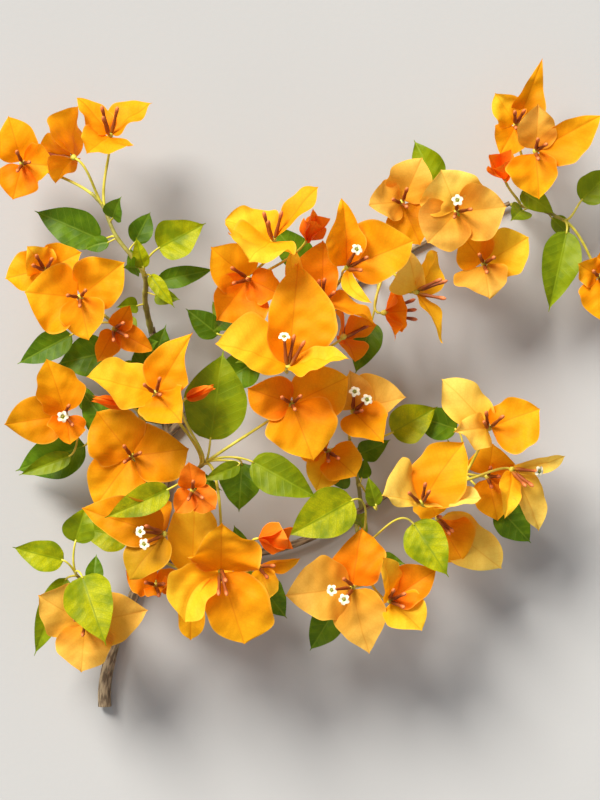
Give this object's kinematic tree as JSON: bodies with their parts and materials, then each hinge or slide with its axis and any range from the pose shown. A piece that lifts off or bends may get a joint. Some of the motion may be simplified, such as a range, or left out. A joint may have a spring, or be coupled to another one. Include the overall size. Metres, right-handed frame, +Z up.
{
  "type": "cut flowering bougainvillea branch",
  "caption": "Cut flowering bougainvillea branch lying on its back, with a woody stem, side boughs, leafy shoots and orange papery blooms.",
  "frame": {"origin": "bottom centre of the bounding box, on the surface that the branch lies on", "axes": "+Z up from the surface towards the open blooms, +Y from the cut end along the main stem, +X to the right of it"},
  "size_m": [0.3884, 0.398, 0.1105],
  "materials": {
    "bark": "grey-brown bark with fine lengthwise ridges and pale pores",
    "foliage": "green leaves and stalks, soft sheen, paler veins, young leaves yellow-green",
    "bract": "thin papery orange bracts with fine veins, brown-red flower tubes and cream stars"
  },
  "bodies": {
    "root": {"main_stem": "bark", "right_bough": "bark", "upper_bough": "bark", "bloom_centre_1": "bract", "bloom_centre_2": "bract", "bloom_centre_3": "bract", "bloom_centre_4": "bract", "bloom_centre_5": "bract", "bloom_centre_6": "bract", "bloom_centre_7": "bract", "bloom_centre_8": "bract", "bloom_centre_9": "bract", "bloom_left_1": "bract", "bloom_left_2": "bract", "bloom_left_3": "bract", "bloom_lower_1": "bract", "bloom_lower_2": "bract", "bloom_lower_3": "bract", "bloom_lower_4": "bract", "bloom_lower_5": "bract", "bloom_corner_1": "bract", "bloom_inner_1": "bract", "bloom_inner_2": "bract", "bloom_south_1": "bract", "bloom_south_2": "bract", "bloom_east_1": "bract", "bloom_east_2": "bract", "bloom_east_3": "bract", "bloom_east_4": "bract", "bloom_east_5": "bract", "bloom_north_1": "bract", "bloom_north_2": "bract", "bloom_north_3": "bract", "bloom_west_1": "bract", "bloom_west_2": "bract", "bloom_west_3": "bract", "bloom_west_4": "bract", "bloom_crown_1": "bract", "bloom_crown_2": "bract", "bloom_crown_3": "bract", "bloom_far_1": "bract", "bloom_far_2": "bract", "bloom_far_3": "bract", "crown_shoot": "foliage", "west_shoot": "foliage", "low_west_shoot": "foliage", "centre_west_shoot": "foliage", "centre_shoot": "foliage", "centre_north_shoot": "foliage", "centre_east_shoot": "foliage", "north_shoot": "foliage", "far_shoot": "foliage", "heart_shoot": "foliage", "left_shoot": "foliage", "lower_shoot": "foliage", "lower_east_shoot": "foliage", "corner_shoot": "foliage", "south_shoot": "foliage", "inner_shoot": "foliage", "east_shoot": "foliage"}
  },
  "joints": []
}
